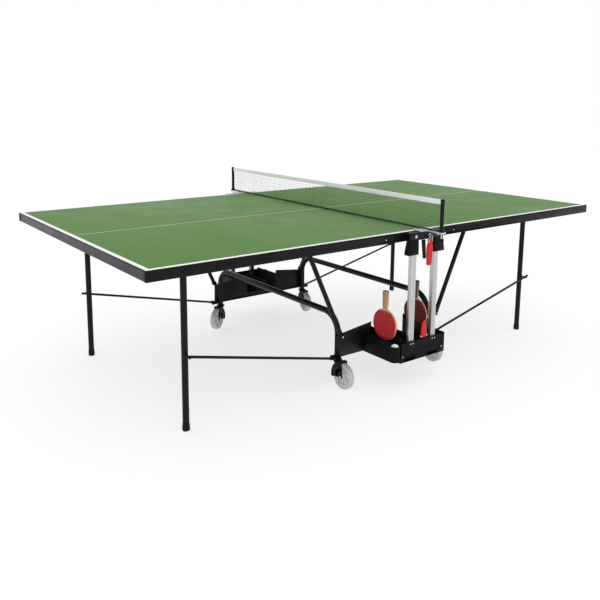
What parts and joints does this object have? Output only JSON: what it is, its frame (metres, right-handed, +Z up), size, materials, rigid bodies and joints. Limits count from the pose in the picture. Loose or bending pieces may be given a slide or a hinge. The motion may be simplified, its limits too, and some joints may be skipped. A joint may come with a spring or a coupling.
{
  "type": "ping pong table",
  "caption": "Folding outdoor ping pong table with green top, black legs, net, and a wheeled centre frame that holds bats and balls.",
  "frame": {"origin": "on the floor under the centre of the table", "axes": "+X along the table, +Y across it towards the far side, +Z up"},
  "size_m": [2.74, 1.792, 0.915],
  "materials": {
    "board_green": "satin melamine resin with printed white lines",
    "rail_black": "black powder coat",
    "tube_black": "black powder coat, slight gloss",
    "moulded_black": "fine grained moulded plastic",
    "foot_rubber": "moulded",
    "post_aluminium": "anodised",
    "plated_steel": "zinc plated",
    "wheel_grey": "light grey translucent",
    "lever_red": "glossy",
    "net_white": "woven tape",
    "net_dark": "knotted mesh of thin dark string",
    "bat_red": "smooth rubber over plywood",
    "ball_white": "satin"
  },
  "bodies": {
    "chassis": {"left_arch_tube": "tube_black", "right_arch_tube": "tube_black", "near_side_panel": "tube_black", "far_side_panel": "tube_black", "pivot_gussets": "tube_black", "near_holder": "moulded_black", "far_holder": "moulded_black", "near_front_plate": "moulded_black", "far_front_plate": "moulded_black", "ball_tubes": "moulded_black", "guide_posts": "post_aluminium", "post_heads": "moulded_black", "head_bridges": "tube_black", "lever_clevises": "plated_steel", "net_brackets": "plated_steel", "net_posts": "tube_black", "net": "net_dark", "net_tape": "net_white", "fasteners": "plated_steel"},
    "left_glides": {"left_glides": "moulded_black", "left_axle": "plated_steel"},
    "left_half": {"left_board": "board_green", "left_side_rails": "rail_black", "left_end_rails": "rail_black", "left_ribs": "rail_black", "left_brackets": "rail_black"},
    "left_legs": {"left_leg_frame": "tube_black", "left_foot_caps": "foot_rubber"},
    "left_near_link": {"left_near_link": "tube_black"},
    "left_near_brace": {"left_near_brace": "tube_black"},
    "left_far_link": {"left_far_link": "tube_black"},
    "left_far_brace": {"left_far_brace": "tube_black"},
    "right_glides": {"right_glides": "moulded_black", "right_axle": "plated_steel"},
    "right_half": {"right_board": "board_green", "right_side_rails": "rail_black", "right_end_rails": "rail_black", "right_ribs": "rail_black", "right_brackets": "rail_black"},
    "right_legs": {"right_leg_frame": "tube_black", "right_foot_caps": "foot_rubber"},
    "right_near_link": {"right_near_link": "tube_black"},
    "right_near_brace": {"right_near_brace": "tube_black"},
    "right_far_link": {"right_far_link": "tube_black"},
    "right_far_brace": {"right_far_brace": "tube_black"},
    "left_near_fork": {"left_near_fork": "moulded_black"},
    "left_near_wheel": {"left_near_wheel": "wheel_grey"},
    "left_far_fork": {"left_far_fork": "moulded_black"},
    "left_far_wheel": {"left_far_wheel": "wheel_grey"},
    "right_near_fork": {"right_near_fork": "moulded_black"},
    "right_near_wheel": {"right_near_wheel": "wheel_grey"},
    "right_far_fork": {"right_far_fork": "moulded_black"},
    "right_far_wheel": {"right_far_wheel": "wheel_grey"},
    "upper_lever": {"upper_lever": "lever_red"},
    "lower_lever": {"lower_lever": "lever_red"},
    "bat_one": {"bat_one": "bat_red"},
    "bat_two": {"bat_two": "bat_red"},
    "balls": {"balls": "ball_white"}
  },
  "joints": [
    {"name": "left_glide_slide", "type": "slide", "parent": "chassis", "child": "left_glides", "axis": [0, 0, -1], "range_m": [0, 0.49]},
    {"name": "left_half_fold", "type": "hinge", "parent": "left_glides", "child": "left_half", "pos_m": [-0.072, 0, 0.74], "axis": [0, 1, 0], "range_deg": [0, 90]},
    {"name": "left_legs_fold", "type": "hinge", "parent": "left_half", "child": "left_legs", "pos_m": [-1.106, 0, 0.728], "axis": [0, 1, 0], "range_deg": [-90, 0]},
    {"name": "left_near_link_swing", "type": "hinge", "parent": "left_half", "child": "left_near_link", "pos_m": [-0.543, -0.584, 0.73], "axis": [0, 1, 0], "range_deg": [-37.32, 0]},
    {"name": "left_near_brace_swing", "type": "hinge", "parent": "chassis", "child": "left_near_brace", "pos_m": [-0.34747, -0.565, 0.151], "axis": [0, 1, 0], "range_deg": [0, 96.65]},
    {"name": "left_far_link_swing", "type": "hinge", "parent": "left_half", "child": "left_far_link", "pos_m": [-0.543, 0.584, 0.73], "axis": [0, 1, 0], "range_deg": [-37.32, 0]},
    {"name": "left_far_brace_swing", "type": "hinge", "parent": "chassis", "child": "left_far_brace", "pos_m": [-0.34747, 0.565, 0.151], "axis": [0, 1, 0], "range_deg": [0, 96.65]},
    {"name": "right_glide_slide", "type": "slide", "parent": "chassis", "child": "right_glides", "axis": [0, 0, -1], "range_m": [0, 0.49]},
    {"name": "right_half_fold", "type": "hinge", "parent": "right_glides", "child": "right_half", "pos_m": [0.072, 0, 0.74], "axis": [0, -1, 0], "range_deg": [0, 90]},
    {"name": "right_legs_fold", "type": "hinge", "parent": "right_half", "child": "right_legs", "pos_m": [1.106, 0, 0.728], "axis": [0, -1, 0], "range_deg": [-90, 0]},
    {"name": "right_near_link_swing", "type": "hinge", "parent": "right_half", "child": "right_near_link", "pos_m": [0.543, -0.584, 0.73], "axis": [0, -1, 0], "range_deg": [-37.32, 0]},
    {"name": "right_near_brace_swing", "type": "hinge", "parent": "chassis", "child": "right_near_brace", "pos_m": [0.34747, -0.565, 0.151], "axis": [0, -1, 0], "range_deg": [0, 96.65]},
    {"name": "right_far_link_swing", "type": "hinge", "parent": "right_half", "child": "right_far_link", "pos_m": [0.543, 0.584, 0.73], "axis": [0, -1, 0], "range_deg": [-37.32, 0]},
    {"name": "right_far_brace_swing", "type": "hinge", "parent": "chassis", "child": "right_far_brace", "pos_m": [0.34747, 0.565, 0.151], "axis": [0, -1, 0], "range_deg": [0, 96.65]},
    {"name": "left_near_swivel", "type": "hinge", "parent": "chassis", "child": "left_near_fork", "pos_m": [-0.305, -0.54, 0.134], "axis": [0, 0, 1], "continuous": true},
    {"name": "left_near_wheel_spin", "type": "hinge", "parent": "left_near_fork", "child": "left_near_wheel", "pos_m": [-0.305, -0.588, 0.0625], "axis": [1, 0, 0], "continuous": true},
    {"name": "left_far_swivel", "type": "hinge", "parent": "chassis", "child": "left_far_fork", "pos_m": [-0.305, 0.54, 0.134], "axis": [0, 0, 1], "continuous": true},
    {"name": "left_far_wheel_spin", "type": "hinge", "parent": "left_far_fork", "child": "left_far_wheel", "pos_m": [-0.34571, 0.51456, 0.0625], "axis": [0.5299, -0.848, 0], "continuous": true},
    {"name": "right_near_swivel", "type": "hinge", "parent": "chassis", "child": "right_near_fork", "pos_m": [0.305, -0.54, 0.134], "axis": [0, 0, 1], "continuous": true},
    {"name": "right_near_wheel_spin", "type": "hinge", "parent": "right_near_fork", "child": "right_near_wheel", "pos_m": [0.305, -0.588, 0.0625], "axis": [1, 0, 0], "continuous": true},
    {"name": "right_far_swivel", "type": "hinge", "parent": "chassis", "child": "right_far_fork", "pos_m": [0.305, 0.54, 0.134], "axis": [0, 0, 1], "continuous": true},
    {"name": "right_far_wheel_spin", "type": "hinge", "parent": "right_far_fork", "child": "right_far_wheel", "pos_m": [0.29667, 0.49273, 0.0625], "axis": [0.9848, -0.1736, 0], "continuous": true},
    {"name": "upper_lever_pull", "type": "hinge", "parent": "chassis", "child": "upper_lever", "pos_m": [0.014, -0.803, 0.715], "axis": [-1, 0, 0], "range_deg": [0, 35], "stiffness_Nm_per_rad": 0.3, "springref_deg": -17.19},
    {"name": "lower_lever_pull", "type": "hinge", "parent": "chassis", "child": "lower_lever", "pos_m": [0.014, -0.787, 0.252], "axis": [1, 0, 0], "range_deg": [0, 35], "stiffness_Nm_per_rad": 0.3, "springref_deg": -17.19},
    {"name": "bat_one_lift", "type": "slide", "parent": "chassis", "child": "bat_one", "axis": [0, 0, 1], "range_m": [0, 0.2]},
    {"name": "bat_two_lift", "type": "slide", "parent": "chassis", "child": "bat_two", "axis": [0, 0, 1], "range_m": [0, 0.2]},
    {"name": "balls_lift", "type": "slide", "parent": "chassis", "child": "balls", "axis": [0, 0, 1], "range_m": [0, 0.12]}
  ],
  "couplings": [
    {"joint": "left_glide_slide", "follows": "left_half_fold", "m_per_rad": 0.31194},
    {"joint": "left_legs_fold", "follows": "left_half_fold", "ratio": -1},
    {"joint": "left_near_link_swing", "follows": "left_half_fold", "ratio": -0.4146},
    {"joint": "left_near_brace_swing", "follows": "left_half_fold", "ratio": 1.0737},
    {"joint": "left_far_link_swing", "follows": "left_half_fold", "ratio": -0.4146},
    {"joint": "left_far_brace_swing", "follows": "left_half_fold", "ratio": 1.0737},
    {"joint": "right_glide_slide", "follows": "right_half_fold", "m_per_rad": 0.31194},
    {"joint": "right_legs_fold", "follows": "right_half_fold", "ratio": -1},
    {"joint": "right_near_link_swing", "follows": "right_half_fold", "ratio": -0.4146},
    {"joint": "right_near_brace_swing", "follows": "right_half_fold", "ratio": 1.0737},
    {"joint": "right_far_link_swing", "follows": "right_half_fold", "ratio": -0.4146},
    {"joint": "right_far_brace_swing", "follows": "right_half_fold", "ratio": 1.0737}
  ]
}
